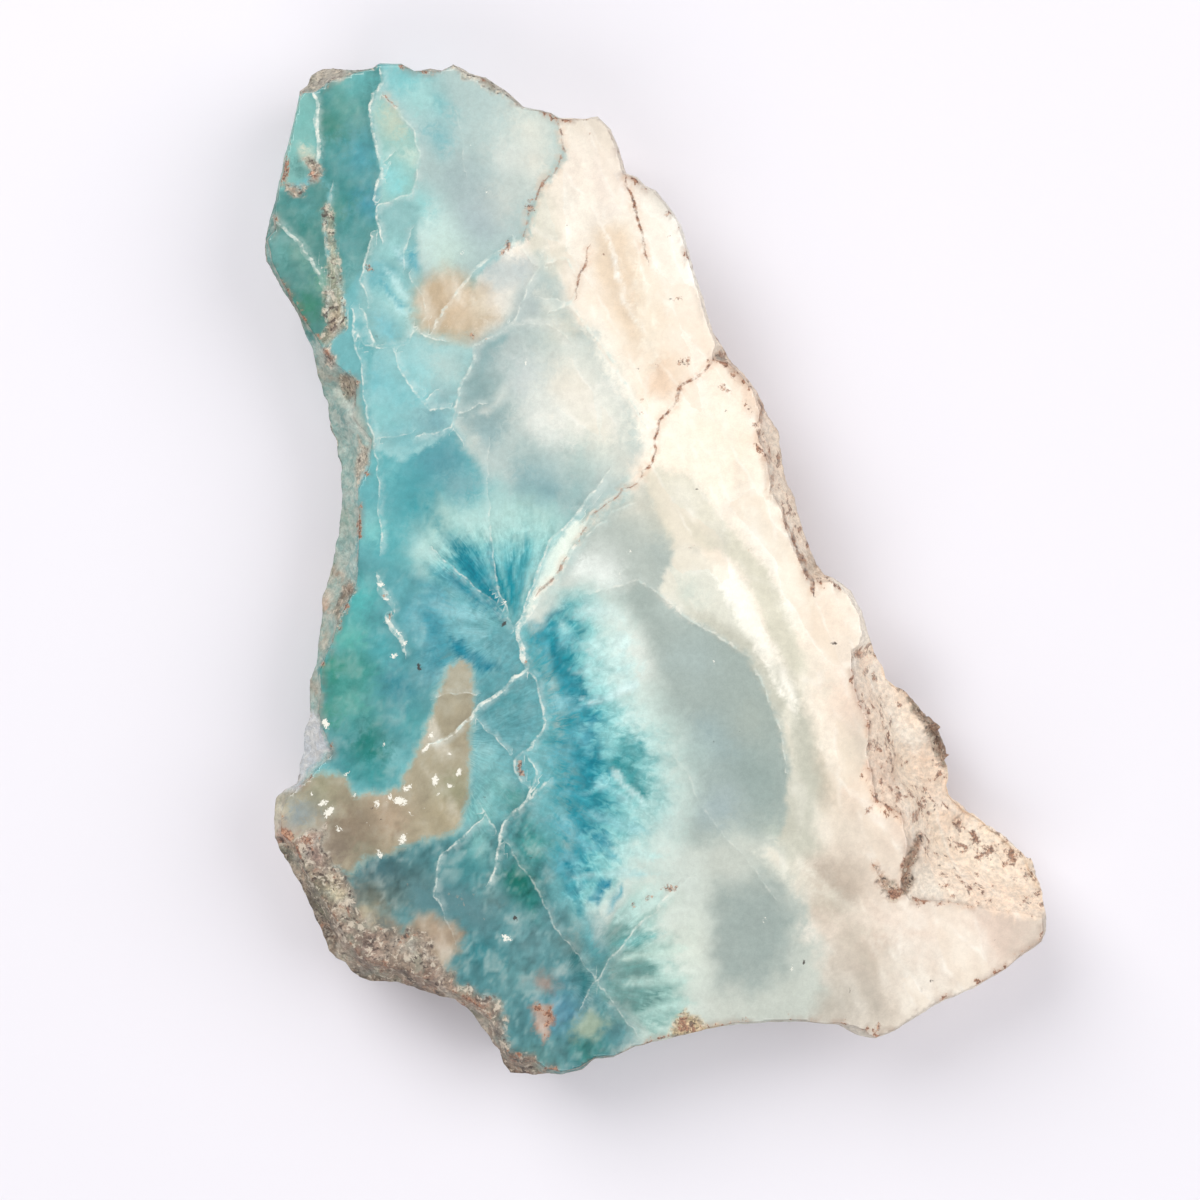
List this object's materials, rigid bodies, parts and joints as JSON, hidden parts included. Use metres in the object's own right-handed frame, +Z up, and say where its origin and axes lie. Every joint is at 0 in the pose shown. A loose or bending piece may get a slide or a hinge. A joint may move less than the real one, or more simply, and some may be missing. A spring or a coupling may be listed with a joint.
{
  "type": "larimar slab",
  "caption": "Thick slab of blue-green larimar stone, polished flat on the front and sawn flat on the back, with rough broken sides and matrix along its edges; a loose stone to display.",
  "frame": {"origin": "middle of the slab's box at its sawn back, which lies on the surface at z = 0", "axes": "+Z is up out of the polished face, through the slab's thickness; +Y runs along the slab to its narrow end; +X is to the right when the polished face is seen with the narrow end up"},
  "size_m": [0.0788, 0.102, 0.012],
  "materials": {
    "larimar": "gloss"
  },
  "bodies": {
    "root": {"larimar_slab": "larimar"}
  },
  "joints": []
}
